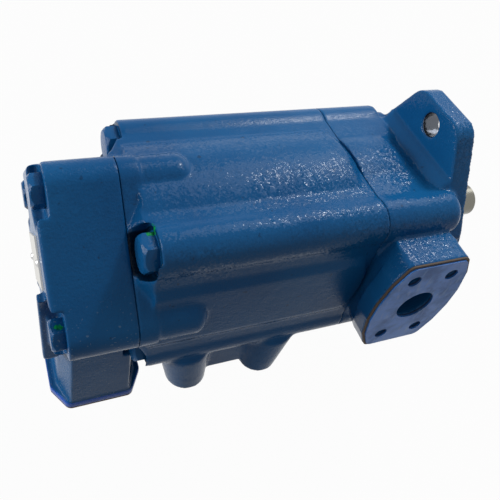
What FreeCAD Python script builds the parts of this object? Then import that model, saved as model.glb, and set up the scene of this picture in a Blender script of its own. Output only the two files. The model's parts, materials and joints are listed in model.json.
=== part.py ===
import FreeCAD, Part
import math
import os

# Tandem hydraulic vane pump. X runs along the shaft towards its keyed end, Z towards the upper mounting
# ear, and the origin is the centre of the mounting face. Millimetres.
V = FreeCAD.Vector
AXIS = V(1, 0, 0)

# mounting flange and pilot
flange_thickness = 13.2
ear_hole_span = 146.0
ear_hole_radius = 7.15
ear_margin = 13.2
ear_tip = ear_hole_span / 2 + ear_margin
ear_tip_half = 20.0
ear_corner_radius = 13.0
ear_root_half = 52.8
ear_root_height = 27.5
pilot_radius = 50.8
pilot_length = 9.5

# lengths of the three castings, and the split planes they give
shaft_end_length = 62.0
inlet_body_length = 139.1
cover_length = 40.9
body_joint_x = -shaft_end_length
cover_joint_x = body_joint_x - inlet_body_length
cover_end_x = cover_joint_x - cover_length

# square casting section with a bolt ridge in each corner
square_half = 53.4
corner_ridge_radius = 14.0
body_bolt_circle = 57.64
front_crown_radius = 56.0
middle_crown_radius = 59.5
middle_crown_side = 56.0
crown_run_out = 7.0
crown_drop = 5.0
front_crown_end_x = -31.0
front_crown_drop = 5.4
scoop_y = (-30.0, 14.0)
lip_back_x = -15.4
lip_height = 58.5
lip_half = 35.0
lip_root_x = -26.0
lip_bend_x = -19.5
lip_bend_z = 52.4
near_ridge_end_x = -8.0
near_ridge_round = 7.0
neck_half = 50.6
neck_corner_radius = 11.0
neck_x = -20.5

# diamond casting section with a bolt ridge at each point
diamond_half = 49.6
diamond_ridge_radius = 13.0
cover_bolt_circle = 50.5
diamond_ridge_end_x = cover_joint_x + 38.4
diamond_ridge_round = 7.5
section_lap = 2.0
block_end_x = cover_joint_x + 8.3
shoulder_rise_x = 7.1
shoulder_height = 44.0
shoulder_half = 34.0
side_slope_x = 1.6
side_slope_height = 38.0
cover_end_round = 3.3

# bolts
body_bolt_radius = 6.35
body_bolt_flats = 19.05
body_bolt_head = 7.94
body_bolt_seat_x = cover_joint_x + 10.7
body_bolt_tip_x = body_joint_x + 22.0
body_spot_radius = 13.2
body_spot_rise = 2.6
cover_bolt_radius = 5.556
cover_bolt_flats = 15.88
cover_bolt_head = 7.14
cover_bolt_seat_x = cover_end_x + 6.1
cover_bolt_tip_x = cover_joint_x + 26.6
cover_spot_radius = 18.5
bolt_head_chamfer = 0.12
bolt_hole_gap = 0.3
thread_gap = 0.02
tip_room = 2.0
past = 1.0

# ports: the face is a distance from the shaft axis
outlet_1_x = body_joint_x + 25.6
outlet_1_face = 75.0
outlet_1_bore = 11.9
outlet_1_pitch_x = 26.19
outlet_1_pitch_z = 52.37
outlet_1_pad_half = 39.2
outlet_1_pad_end = 20.2
outlet_1_pad_bend = 27.0
outlet_1_pad_bend_half = 24.5
outlet_1_pad_side = 30.3
outlet_1_pad_side_half = 8.0
outlet_1_pad_depth = 12.0
outlet_1_pad_root = 45.0
outlet_1_overhang = 12.5
outlet_1_bore_end = 20.0
outlet_2_x = cover_joint_x - 12.9
outlet_2_face = 107.4
outlet_2_bore = 9.5
outlet_2_pitch_x = 22.23
outlet_2_pitch_y = 47.63
outlet_2_pad_half = 38.4
outlet_2_pad_end = 20.5
outlet_2_pad_side = 29.4
outlet_2_pad_side_half = 23.0
outlet_2_pad_depth = 6.0
outlet_2_bore_end = 66.0
gallery_z = 72.0
gallery_radius = 7.5
gallery_branch_y = 13.5
gallery_branch_radius = 6.0
gallery_branch_end = 28.0
tower_end = 16.5
tower_side = 24.0
tower_foot_end = 18.8
tower_foot_side = 24.6
tower_root_z = 25.0
tower_shoulder = 0.6
tower_shelf_z = 56.0
tower_gap = 0.6
tower_inner_half = 18.6
tower_flare = 4.5
pad_corner_radius = 5.0
outlet_screw_hole = 4.0
outlet_screw_depth = 19.0
inlet_x = body_joint_x - 74.0
inlet_face = 80.0
inlet_bore = 31.75
inlet_pitch_x = 50.8
inlet_pitch_y = 88.9
inlet_screw_hole = 5.4
inlet_screw_depth = 24.0
inlet_bore_end = 10.0
inlet_lobe_radius = 13.0
inlet_lobe_root = 17.0
lobe_flare_x = 4.0
lobe_flare_y = 3.5
web_recess = 3.0
web_half = 47.0
inlet_neck_radius = 40.0
lobe_root_z = 46.0
gasket_thickness = 1.0
sheet_thickness = 1.0
sheet_hole_gap = 0.2
sheet_inset = 1.6
gasket_inset = 0.2

# shaft, key and bearing
shaft_radius = 11.11
keyway_room = 5.0
shaft_reach = 58.7
shaft_chamfer = 1.5
keyway_run_out = 1.2
keyway_run_out_depth = 0.4
journal_radius = 12.5
journal_front_x = 8.5
journal_back_x = -21.5
core_radius = 9.4
spline_tip_radius = 10.6
spline_tooth = 2.4
spline_teeth = 12
tail_radius = 8.5
tail_end_x = cover_joint_x - 9.4
tail_start_x = cover_joint_x + 4.1
key_width = 6.35
key_length = 30.0
key_end_gap = 14.0
key_stand = 2.85
keyway_gap = 0.02
bearing_outer_radius = 26.0
bearing_width = 15.0
bearing_front_x = -2.6
ball_radius = 3.97
ball_pitch_radius = 19.25
ball_count = 9
race_land = 3.0
race_gap = 0.1
cage_half_width = 5.4
cage_half_wall = 1.0
cage_gap = 0.2
snap_thickness = 1.5
snap_groove_room = 1.0
shaft_snap_outer = 14.6
shaft_snap_inner = 11.6
housing_snap_outer = 28.0
housing_snap_inner = 23.4
snap_gap_angle = 30.0
seal_front_x = 8.0
seal_back_x = 0.6
seal_case_wall = 2.0
seal_case_inner = 15.0
seal_lip_setback = 1.0
seal_lip_body = 2.0
seal_lip_width = 2.0
seat_gap = 0.02
run_gap = 0.05
wall_bore_radius = 13.0
bearing_step_radius = 22.5
bearing_step_depth = 3.4
bearing_back_x = bearing_front_x - bearing_width
front_chamber_x = bearing_back_x - 6.9

# front cartridge, at the shaft end, then the rear one
front = dict(name="front", way=1, bore=46.0, hub_radius=35.0, hub_end_x=body_joint_x + 11.0,
             disc_x=body_joint_x + 4.0, plate_x=body_joint_x - 6.0,
             ring_width=32.0, ring_radius=41.0, minor=29.5, major=33.0,
             rotor=29.0, slot_root=19.6, vane_root=21.4, inlet_plate=10.0, centre=11.2)
rear = dict(name="rear", way=-1, bore=41.0, hub_radius=35.0, hub_end_x=cover_joint_x - 9.9,
            disc_x=cover_joint_x - 4.9, plate_x=cover_joint_x + 3.1,
            ring_width=26.0, ring_radius=38.0, minor=26.5, major=29.6,
            rotor=26.0, slot_root=17.6, vane_root=19.2, inlet_plate=10.0, centre=10.8)
flex_thickness = 1.5
flex_bore = 13.0
plate_gap = 0.3
plate_bore_gap = 0.6
bite_room = 0.5
pin_room = 0.2
pressure_angles = (60, 120, 240, 300)
pressure_hole_inset = 6.0
notch_angles = (30, 150, 210, 330)
passage_angles = (45, 135, 225, 315)
rotor_side_gap = 0.03
vane_count = 10
vane_phase = 9.0
vane_thickness = 2.0
vane_slot_gap = 0.04
vane_tip_gap = 0.25
pin_radius = 2.2
pin_bite = 5.0
cartridge_screw_radius = 2.2
cartridge_screw_head = 3.6
cartridge_screw_head_depth = 3.0
cartridge_screw_bite = 6.0
cartridge_screw_sink = 0.2
port_hole_radius = 3.6
notch_radius = 8.0
hub_seal_section = 1.3
hub_backup_width = 1.2
hub_groove_gap = 0.1
hub_groove_land = 0.8
joint_groove_gap = 0.1
chamber_radius = 38.0
rear_chamber_x = cover_end_x + 13.0
passage_radius = 6.5
passage_circle = 38.0
joint_seal_section = 1.25
front_joint_seal_circle = 48.6
rear_joint_seal_section = 0.9
rear_joint_seal_circle = 43.4

# end boss and nameplate on the cover
end_boss_rise = 4.0
end_boss_root = 5.0
end_boss_y = (-33.0, -26.5)
end_boss_z = (-51.0, 5.0)
nameplate_width = 27.6
nameplate_length = 55.0
nameplate_turn = 45.0
nameplate_thickness = 1.0
nameplate_screw_radius = 1.3
nameplate_screw_head = 2.4
nameplate_screw_rise = 1.2
nameplate_screw_length = 6.0
nameplate_screw_margin = 3.6
nameplate_screw_offset = nameplate_length / 2 - nameplate_screw_margin
nameplate_hole_gap = 0.1
nameplate_screw_room = 0.5


def cylinder(radius, x0, x1, y=0.0, z=0.0):
    """Round bar along X between two stations."""
    return Part.makeCylinder(radius, abs(x1 - x0), V(min(x0, x1), y, z), AXIS)


def tube(outer, inner, x0, x1):
    return cylinder(outer, x0, x1).cut(cylinder(inner, x0, x1))


def polar(radius, angle):
    """Point of the YZ plane at an angle from +Y towards +Z."""
    turn = math.radians(angle)
    return radius * math.cos(turn), radius * math.sin(turn)


def spun(solid, angle):
    turned = solid.copy()
    turned.rotate(V(0, 0, 0), AXIS, angle)
    return turned


def fuse(solids):
    whole = solids[0].fuse(list(solids[1:])) if len(solids) > 1 else solids[0]
    return whole.removeSplitter()


def write(node, shape):
    shape.exportStep(f"parts/{node}.step")


def box(x, y, z):
    """Box between two stations on each axis."""
    return Part.makeBox(x[1] - x[0], y[1] - y[0], z[1] - z[0], V(x[0], y[0], z[0]))


def square_bar(half, x0, x1, radius=0.0):
    """Square bar along X with its long edges rounded."""
    bar = box((x0, x1), (-half, half), (-half, half))
    if not radius:
        return bar
    edges = [e for e in bar.Edges if abs(e.tangentAt(0).dot(AXIS)) > 0.99]
    return bar.makeFillet(radius, edges)


def hexagon(flats, x0, x1, y, z):
    """Hexagonal bar along X, with the chamfered outer corners of a bolt head at x0."""
    side = flats / math.sqrt(3)
    points = [V(x0, y + side * math.cos(math.radians(60 * i)), z + side * math.sin(math.radians(60 * i)))
              for i in range(7)]
    bar = Part.Face(Part.makePolygon(points)).extrude(V(x1 - x0, 0, 0))
    chamfer = bolt_head_chamfer * flats
    cone = Part.makeCone(side - chamfer, side + abs(x1 - x0), abs(x1 - x0) + chamfer, V(x0, y, z), AXIS)
    return bar.common(cone)


def pad_outline(quarter):
    """Corner points of a pad: flat ends, slanted corners and flat sides, from those of one quarter."""
    right = quarter + [(a, -b) for a, b in reversed(quarter)]
    return right + [(-a, -b) for a, b in right]


def rounded_prism(points, plane, start, end, radius):
    """Prism from an outline. plane is 'y' for a pad that faces -Y and 'z' for one that faces -Z."""
    to_space = {"y": lambda a, b: V(a, start, b), "z": lambda a, b: V(a, b, start)}[plane]
    way = {"y": V(0, end - start, 0), "z": V(0, 0, end - start)}[plane]
    loop = [to_space(a, b) for a, b in points]
    prism = Part.Face(Part.makePolygon(loop + [loop[0]])).extrude(way)
    edges = [e for e in prism.Edges
             if abs(e.Length - way.Length) < 1e-6 and abs(e.tangentAt(0).dot(way)) > 0.99 * way.Length]
    return prism.makeFillet(radius, edges) if radius else prism


def shifted(points, x):
    return [(a + x, b) for a, b in points]


def taper(bottom, top):
    """Solid between two like outlines of points."""
    wires = [Part.makePolygon(loop + [loop[0]]) for loop in (bottom, top)]
    return Part.makeLoft(wires, True, True)


body_bolt_spots = [polar(body_bolt_circle, a) for a in (45, 135, 225, 315)]
cover_bolt_spots = [polar(cover_bolt_circle, a) for a in (0, 90, 180, 270)]


def square_section(x0, x1, crown):
    """Square casting stretch with its crowned sides and its four corner ridges."""
    ridges = [cylinder(corner_ridge_radius, x0, x1, y, z) for y, z in body_bolt_spots]
    corner = square_half - body_bolt_circle * math.sqrt(0.5)
    return fuse([square_bar(square_half, x0, x1, corner), crown] + ridges)


def diamond_section(x0, x1):
    """Diamond casting stretch whose points are rounded around the cover bolts."""
    return spun(square_bar(diamond_half, x0, x1, diamond_ridge_radius), 45)


def pattern_holes(spots, plane, radius, face, depth):
    """Blind holes into a port pad from its face."""
    holes = []
    for a, b in spots:
        if plane == "y":
            holes.append(Part.makeCylinder(radius, depth, V(a, -face, b), V(0, 1, 0)))
        else:
            holes.append(Part.makeCylinder(radius, depth, V(a, b, -face), V(0, 0, 1)))
    return holes


def rectangle(x, pitch_a, pitch_b):
    return [(x + i * pitch_a / 2, j * pitch_b / 2) for i in (-1, 1) for j in (-1, 1)]


outlet_1_spots = rectangle(outlet_1_x, outlet_1_pitch_x, outlet_1_pitch_z)
outlet_2_spots = rectangle(outlet_2_x, outlet_2_pitch_x, outlet_2_pitch_y)
inlet_spots = rectangle(inlet_x, inlet_pitch_x, inlet_pitch_y)
outlet_1_outline = pad_outline([(outlet_1_pad_end, outlet_1_pad_half),
                                (outlet_1_pad_bend, outlet_1_pad_bend_half),
                                (outlet_1_pad_side, outlet_1_pad_side_half)])
outlet_2_outline = pad_outline([(outlet_2_pad_end, outlet_2_pad_half),
                                (outlet_2_pad_side, outlet_2_pad_side_half)])


def inset(points, amount, half_a, half_b):
    return [(a * (half_a - amount) / half_a, b * (half_b - amount) / half_b) for a, b in points]


def round_ended(radius, x0, x1, rounding, y, z):
    """Round bar along X whose end at x1 is rounded."""
    bar = cylinder(radius, x0, x1, y, z)
    rim = [e for e in bar.Edges if abs(e.CenterOfMass.x - x1) < 1e-6]
    return bar.makeFillet(rounding, rim)


def scoop(side):
    """Sloping cut between the crown and the flange, on the upper or the lower face."""
    low = front_crown_radius - front_crown_drop
    profile = [(front_crown_end_x, front_crown_radius), (neck_x, low), (neck_x + past, low),
               (neck_x + past, front_crown_radius + past), (front_crown_end_x, front_crown_radius + past)]
    loop = [V(x, scoop_y[0], side * z) for x, z in profile]
    return Part.Face(Part.makePolygon(loop + [loop[0]])).extrude(V(0, scoop_y[1] - scoop_y[0], 0))


def ear_lip(side):
    """Rise from the body up to a lip across the root of an ear, on the flange's back."""
    low = front_crown_radius - front_crown_drop
    profile = [(past - flange_thickness, 0), (lip_root_x, 0), (lip_root_x, low), (lip_bend_x, lip_bend_z),
               (lip_back_x, lip_height), (past - flange_thickness, lip_height)]
    loop = [V(x, -lip_half, side * z) for x, z in profile]
    return Part.Face(Part.makePolygon(loop + [loop[0]])).extrude(V(0, 2 * lip_half, 0))


# Casting at the shaft end
def shaft_end_body():
    half = [(ear_tip_half, ear_tip), (ear_root_half, ear_root_height)]
    right = half + [(y, -z) for y, z in reversed(half)]
    outline = right + [(-y, -z) for y, z in right]
    loop = [V(-flange_thickness, y, z) for y, z in outline]
    flange = Part.Face(Part.makePolygon(loop + [loop[0]])).extrude(V(flange_thickness, 0, 0))
    tips = [e for e in flange.Edges if abs(e.tangentAt(0).dot(AXIS)) > 0.99
            and abs(e.CenterOfMass.z) > ear_root_height + past]
    flange = flange.makeFillet(ear_corner_radius, tips)
    neck = square_bar(neck_half, neck_x, past - flange_thickness, neck_corner_radius)
    crown = cylinder(front_crown_radius, body_joint_x, front_crown_end_x)
    crown = crown.fuse(Part.makeCone(front_crown_radius, front_crown_radius - front_crown_drop,
                                     neck_x - front_crown_end_x, V(front_crown_end_x, 0, 0), AXIS))
    block = square_section(body_joint_x, neck_x, crown)
    for s in (-1, 1):
        block = block.cut(scoop(s))
    lips = [ear_lip(s) for s in (-1, 1)]
    near_ridges = [round_ended(corner_ridge_radius, neck_x - section_lap, near_ridge_end_x,
                               near_ridge_round, y, z) for y, z in body_bolt_spots if y < 0]
    pad_top = [V(a + outlet_1_x, -outlet_1_face + outlet_1_pad_depth, b) for a, b in outlet_1_outline]
    squeeze = (body_joint_x - outlet_1_x) / -outlet_1_pad_side
    pad_base = [V(a * squeeze + outlet_1_x, -outlet_1_pad_root, b) for a, b in outlet_1_outline]
    pad_neck = taper(pad_base, pad_top)
    pad = rounded_prism(shifted(outlet_1_outline, outlet_1_x), "y", -outlet_1_face,
                        -outlet_1_face + outlet_1_pad_depth, pad_corner_radius)
    solid = fuse([flange, cylinder(pilot_radius, -past, pilot_length), neck, block, pad_neck, pad]
                 + lips + near_ridges)
    cuts = [
        box((body_joint_x - outlet_1_pad_side, body_joint_x),
            (-outlet_1_face + outlet_1_overhang, square_half), (-ear_tip, ear_tip)),
        cylinder(bearing_outer_radius, bearing_back_x, pilot_length + past),
        cylinder(housing_snap_outer, bearing_front_x, bearing_front_x + snap_thickness),
        cylinder(bearing_step_radius, bearing_back_x - bearing_step_depth, bearing_back_x),
        cylinder(wall_bore_radius, front_chamber_x, bearing_back_x),
        cylinder(front["hub_radius"], front["disc_x"], front_chamber_x),
        cylinder(front["bore"], body_joint_x - past, front["disc_x"]),
        Part.makeCylinder(outlet_1_bore, outlet_1_face - outlet_1_bore_end,
                          V(outlet_1_x, -outlet_1_face, 0), V(0, 1, 0)),
        tube(front_joint_seal_circle + joint_seal_section + joint_groove_gap,
             front_joint_seal_circle - joint_seal_section - joint_groove_gap,
             body_joint_x - past, body_joint_x + 2 * joint_seal_section),
    ]
    cuts += [cylinder(ear_hole_radius, -flange_thickness - past, past, 0, s * ear_hole_span / 2)
             for s in (-1, 1)]
    cuts += [cylinder(body_bolt_radius + thread_gap, body_joint_x - past, body_bolt_tip_x + tip_room, y, z)
             for y, z in body_bolt_spots]
    cuts += pattern_holes(outlet_1_spots, "y", outlet_screw_hole, outlet_1_face, outlet_screw_depth)
    for tool in cuts:
        solid = solid.cut(tool)
    return solid


def lobe(x, y):
    """Bolt lobe of the inlet pad, flared outwards along the shaft and inwards across it."""
    root_x = x + math.copysign(lobe_flare_x, x - inlet_x)
    root_y = y - math.copysign(lobe_flare_y, y)
    face = Part.Wire(Part.makeCircle(inlet_lobe_radius, V(x, y, -inlet_face), V(0, 0, 1)))
    root = Part.Wire(Part.makeCircle(inlet_lobe_root, V(root_x, root_y, -lobe_root_z), V(0, 0, 1)))
    return Part.makeLoft([face, root], True, True)


def shoulder(side):
    """Wedge that leads from the joint's outline up to the square section."""
    profile = [(cover_joint_x, 0), (cover_joint_x, shoulder_height),
               (cover_joint_x + shoulder_rise_x, square_half), (block_end_x + section_lap, square_half),
               (block_end_x + section_lap, 0)]
    loop = [V(x, -shoulder_half, side * z) for x, z in profile]
    return Part.Face(Part.makePolygon(loop + [loop[0]])).extrude(V(0, 2 * shoulder_half, 0))


def side_slope(side):
    """Slope between two body bolts, from the diamond section out to the square section."""
    start_x = cover_joint_x + side_slope_x
    rise = block_end_x - start_x
    profile = [(start_x, 0), (start_x, square_half - rise), (block_end_x, square_half),
               (block_end_x + section_lap, square_half), (block_end_x + section_lap, 0)]
    loop = [V(x, side * y, -side_slope_height) for x, y in profile]
    return Part.Face(Part.makePolygon(loop + [loop[0]])).extrude(V(0, 0, 2 * side_slope_height))


# Middle casting with the inlet
def inlet_body():
    crown = cylinder(middle_crown_radius, block_end_x, body_joint_x - crown_run_out)
    run_out = Part.makeCone(middle_crown_radius, middle_crown_radius - crown_drop, crown_run_out,
                            V(body_joint_x - crown_run_out, 0, 0), AXIS)
    crown = crown.fuse(run_out).common(box((cover_joint_x, body_joint_x),
                                           (-middle_crown_side, middle_crown_side),
                                           (-middle_crown_radius, middle_crown_radius)))
    block = square_section(block_end_x, body_joint_x, crown)
    points = diamond_section(cover_joint_x, block_end_x + section_lap)
    shoulders = [shoulder(s) for s in (-1, 1)] + [side_slope(s) for s in (-1, 1)]
    ridges = [round_ended(diamond_ridge_radius, cover_joint_x, diamond_ridge_end_x,
                          diamond_ridge_round, y, z) for y, z in cover_bolt_spots]
    neck = Part.makeCylinder(inlet_neck_radius, inlet_face - lobe_root_z, V(inlet_x, 0, -inlet_face),
                             V(0, 0, 1))
    lobes = [lobe(x, y) for x, y in inlet_spots]
    webs = box((inlet_x - inlet_pitch_x / 2, inlet_x + inlet_pitch_x / 2),
               (-web_half, web_half), (-inlet_face + web_recess, -lobe_root_z))
    solid = fuse([block, points] + shoulders + ridges + [neck, webs] + lobes)
    front_seat = front["plate_x"] - 2 * flex_thickness - front["ring_width"] - front["inlet_plate"]
    rear_seat = rear["plate_x"] + 2 * flex_thickness + rear["ring_width"] + rear["inlet_plate"]
    cuts = [
        cylinder(front["bore"], front_seat, body_joint_x + past),
        cylinder(rear["bore"], cover_joint_x - past, rear_seat),
        cylinder(chamber_radius, rear_seat - past, front_seat + past),
        Part.makeCylinder(inlet_bore, inlet_face - inlet_bore_end, V(inlet_x, 0, -inlet_face), V(0, 0, 1)),
    ]
    cuts += [cylinder(passage_radius, rear_seat - past, front_seat + past, *polar(passage_circle, a))
             for a in passage_angles]
    cuts += [cylinder(body_bolt_radius + bolt_hole_gap, cover_joint_x - past, body_joint_x + past, y, z)
             for y, z in body_bolt_spots]
    cuts += [cylinder(body_spot_radius, cover_joint_x - past, body_bolt_seat_x, y, z)
             for y, z in body_bolt_spots]
    cuts += [cylinder(body_spot_radius, cover_joint_x - past, body_bolt_seat_x, y,
                      z + math.copysign(body_spot_rise, z)) for y, z in body_bolt_spots]
    cuts += [cylinder(cover_bolt_radius + thread_gap, cover_joint_x - past, cover_bolt_tip_x + tip_room, y, z)
             for y, z in cover_bolt_spots]
    cuts += pattern_holes(inlet_spots, "z", inlet_screw_hole, inlet_face, inlet_screw_depth)
    for tool in cuts:
        solid = solid.cut(tool)
    return solid


def tower_outline(end_half, side_half, z):
    """Section of the second outlet's column at a height."""
    outline = pad_outline([(end_half, outlet_2_pad_half - tower_shoulder),
                           (side_half, outlet_2_pad_side_half)])
    return [V(x, y, z) for x, y in shifted(outline, outlet_2_x)]


# End casting with the second outlet
def outlet_cover():
    shell = diamond_section(cover_end_x, cover_joint_x)
    rim = [e for e in shell.Edges if abs(e.BoundBox.XMax - cover_end_x) < 1e-3]
    shell = shell.makeFillet(cover_end_round, rim)
    tower = taper(tower_outline(tower_foot_end, tower_foot_side, -outlet_2_face + past),
                  tower_outline(tower_end, tower_side, -tower_root_z))
    tower_reach = outlet_2_x + outlet_2_pad_side
    tower = tower.cut(box((cover_joint_x, tower_reach),
                          (-outlet_2_pad_half, outlet_2_pad_half), (-tower_shelf_z, 0)))
    tower = tower.cut(spun(square_bar(diamond_half + tower_gap, cover_joint_x, tower_reach), 45))
    tower = tower.cut(box((outlet_2_x + tower_inner_half, tower_reach),
                          (-outlet_2_pad_half, outlet_2_pad_half),
                          (-outlet_2_face + outlet_2_pad_depth + tower_flare, 0)))
    tower = tower.cut(cylinder(middle_crown_radius + tower_gap, block_end_x - tower_gap, tower_reach))
    pad = rounded_prism(shifted(outlet_2_outline, outlet_2_x), "z", -outlet_2_face,
                        -outlet_2_face + outlet_2_pad_depth, pad_corner_radius)
    boss = box((cover_end_x - end_boss_rise, cover_end_x + end_boss_root), end_boss_y, end_boss_z)
    solid = fuse([shell, tower, pad, boss])
    gallery_reach = gallery_branch_y + gallery_branch_radius
    cuts = [
        cylinder(rear["bore"], rear["disc_x"], cover_joint_x + past),
        cylinder(rear["hub_radius"], rear_chamber_x, rear["disc_x"] + past),
        Part.makeCylinder(outlet_2_bore, outlet_2_face - outlet_2_bore_end, V(outlet_2_x, 0, -outlet_2_face),
                          V(0, 0, 1)),
        Part.makeCylinder(gallery_radius, 2 * gallery_reach, V(outlet_2_x, -gallery_reach, -gallery_z),
                          V(0, 1, 0)),
        tube(rear_joint_seal_circle + rear_joint_seal_section + joint_groove_gap,
             rear_joint_seal_circle - rear_joint_seal_section - joint_groove_gap,
             cover_joint_x - 2 * rear_joint_seal_section, cover_joint_x + past),
    ]
    cuts += [Part.makeCylinder(gallery_branch_radius, gallery_z - gallery_branch_end,
                               V(outlet_2_x, s * gallery_branch_y, -gallery_z), V(0, 0, 1)) for s in (-1, 1)]
    cuts += [cylinder(cover_bolt_radius + bolt_hole_gap, cover_end_x - past, cover_joint_x + past, y, z)
             for y, z in cover_bolt_spots]
    cuts += [cylinder(cover_spot_radius, cover_end_x - end_boss_rise - past, cover_bolt_seat_x, y, z)
             for y, z in cover_bolt_spots]
    cuts += pattern_holes(outlet_2_spots, "z", outlet_screw_hole, outlet_2_face, outlet_screw_depth)
    cuts += [spun(cylinder(nameplate_screw_radius + thread_gap, cover_end_x - past,
                           cover_end_x + nameplate_screw_length, 0, s * nameplate_screw_offset),
                  nameplate_turn) for s in (-1, 1)]
    for tool in cuts:
        solid = solid.cut(tool)
    return solid


# Shaft and what turns with it
def splined(core, tip, tooth, x0, x1):
    teeth = [spun(box((x0, x1), (0, tip), (-tooth / 2, tooth / 2)), i * 360 / spline_teeth)
             for i in range(spline_teeth)]
    bars = fuse([cylinder(core, x0, x1)] + teeth)
    return bars.common(cylinder(tip, x0, x1))


def ring_span(c):
    """Stations of the cam ring's two ends, lowest first."""
    near = c["plate_x"] - c["way"] * flex_thickness
    far = near - c["way"] * c["ring_width"]
    return min(near, far), max(near, far)


key_x = (shaft_reach - key_end_gap - key_length, shaft_reach - key_end_gap)
key_floor = shaft_radius + key_stand - key_width


def drive_shaft():
    nose = Part.makeCone(shaft_radius, shaft_radius - shaft_chamfer, shaft_chamfer,
                         V(shaft_reach - shaft_chamfer, 0, 0), AXIS)
    solids = [
        cylinder(shaft_radius, journal_front_x, shaft_reach - shaft_chamfer), nose,
        cylinder(journal_radius, journal_back_x, journal_front_x),
        cylinder(core_radius, tail_start_x, journal_back_x),
        cylinder(tail_radius, tail_end_x, tail_start_x),
    ]
    for c in (front, rear):
        low, high = ring_span(c)
        solids.append(splined(core_radius, spline_tip_radius, spline_tooth, low - past, high + past))
    shaft = fuse(solids)
    keyway = box((key_x[0] - keyway_gap, key_x[1] + keyway_gap), (key_floor, shaft_radius + keyway_room),
                 (-key_width / 2 - keyway_gap, key_width / 2 + keyway_gap))
    groove = tube(journal_radius + snap_groove_room, shaft_snap_inner - seat_gap,
                  bearing_back_x - snap_thickness, bearing_back_x)
    run_out = tube(shaft_radius + past, shaft_radius - keyway_run_out_depth, key_x[1] + keyway_gap,
                   key_x[1] + keyway_gap + keyway_run_out)
    return shaft.cut(keyway).cut(groove).cut(run_out)


def snap_ring(outer, inner, x0):
    ring = tube(outer, inner, x0, x0 + snap_thickness)
    half = math.tan(math.radians(snap_gap_angle / 2)) * outer
    low, high = x0 - past, x0 + snap_thickness + past
    gap = taper([V(low, 0, 0), V(low, -half, -outer), V(low, half, -outer)],
                [V(high, 0, 0), V(high, -half, -outer), V(high, half, -outer)])
    return ring.cut(gap)


ball_x = bearing_front_x - bearing_width / 2
ball_spots = [polar(ball_pitch_radius, i * 360 / ball_count) for i in range(ball_count)]


def bearing():
    """Outer race, inner race, balls and cage of a deep-groove ball bearing."""
    groove = Part.makeTorus(ball_pitch_radius, ball_radius + race_gap, V(ball_x, 0, 0), AXIS)
    outer = tube(bearing_outer_radius - seat_gap, ball_pitch_radius + race_land, bearing_back_x,
                 bearing_front_x).cut(groove)
    inner = tube(ball_pitch_radius - race_land, journal_radius + seat_gap, bearing_back_x,
                 bearing_front_x).cut(groove)
    balls = Part.makeCompound([Part.makeSphere(ball_radius, V(ball_x, y, z)) for y, z in ball_spots])
    cage = tube(ball_pitch_radius + cage_half_wall, ball_pitch_radius - cage_half_wall,
                ball_x - cage_half_width, ball_x + cage_half_width)
    for y, z in ball_spots:
        cage = cage.cut(Part.makeCylinder(ball_radius + cage_gap, 2 * ball_pitch_radius, V(ball_x, 0, 0),
                                          V(0, y, z)))
    return outer, inner, balls, cage


def shaft_seal():
    """Metal case pressed in the bore, and the rubber lip that runs on the journal."""
    case = tube(bearing_outer_radius - seat_gap, bearing_outer_radius - seal_case_wall, seal_back_x,
                seal_front_x)
    case = case.fuse(tube(bearing_outer_radius - seal_case_wall, seal_case_inner,
                          seal_front_x - seal_case_wall, seal_front_x)).removeSplitter()
    lip_back = seal_back_x + seal_lip_setback
    lip = tube(seal_case_inner + seal_lip_body, seal_case_inner, lip_back, seal_front_x - seal_case_wall)
    skirt = tube(seal_case_inner, journal_radius + run_gap, lip_back, lip_back + seal_lip_width)
    return case, lip.fuse(skirt).removeSplitter()


# Cartridges
def cartridge_spots(c):
    """Screws lie on the major axis of the cam bore and pins on the minor axis."""
    screw = (c["major"] + c["ring_radius"]) / 2
    pin = (c["minor"] + c["ring_radius"]) / 2
    return [(0, screw), (0, -screw)], [(pin, 0), (-pin, 0)]


def holed(solid, spots, radius, x0, x1):
    for y, z in spots:
        solid = solid.cut(cylinder(radius, x0, x1, y, z))
    return solid


def cam_ring(c):
    low, high = ring_span(c)
    screws, pins = cartridge_spots(c)
    ellipse = Part.Ellipse(V(low - past, 0, 0), c["major"], c["minor"])
    ellipse.Axis = AXIS
    ellipse.XAxis = V(0, 0, 1)
    bore = Part.Face(Part.Wire(ellipse.toShape())).extrude(V(high - low + 2 * past, 0, 0))
    ring = cylinder(c["ring_radius"], low, high).cut(bore)
    ring = holed(ring, screws, cartridge_screw_radius + bolt_hole_gap, low - past, high + past)
    return holed(ring, pins, pin_radius + seat_gap, low - past, high + past)


def rotor(c):
    low, high = ring_span(c)
    low, high = low + rotor_side_gap, high - rotor_side_gap
    disc = cylinder(c["rotor"], low, high)
    disc = disc.cut(splined(core_radius + run_gap, spline_tip_radius + run_gap, spline_tooth + 2 * run_gap,
                            low - past, high + past))
    width = vane_thickness / 2 + vane_slot_gap
    slot = box((low - past, high + past), (c["slot_root"], c["rotor"] + past), (-width, width))
    for i in range(vane_count):
        disc = disc.cut(spun(slot, vane_phase + i * 360 / vane_count))
    return disc


def vane(c, i):
    """A blade drawn in flush, with its rounded tip clear of the cam bore's smallest radius."""
    low, high = ring_span(c)
    low, high = low + rotor_side_gap, high - rotor_side_gap
    tip = c["minor"] - vane_tip_gap
    blade = box((low, high), (c["vane_root"], tip + past), (-vane_thickness / 2, vane_thickness / 2))
    blade = blade.common(cylinder(tip, low - past, high + past))
    return spun(blade, vane_phase + i * 360 / vane_count)


def plate_span(c):
    """Stations of the inlet side plate's inner and outer faces."""
    inner = c["plate_x"] - c["way"] * (2 * flex_thickness + c["ring_width"])
    return inner, inner - c["way"] * c["inlet_plate"]


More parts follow.
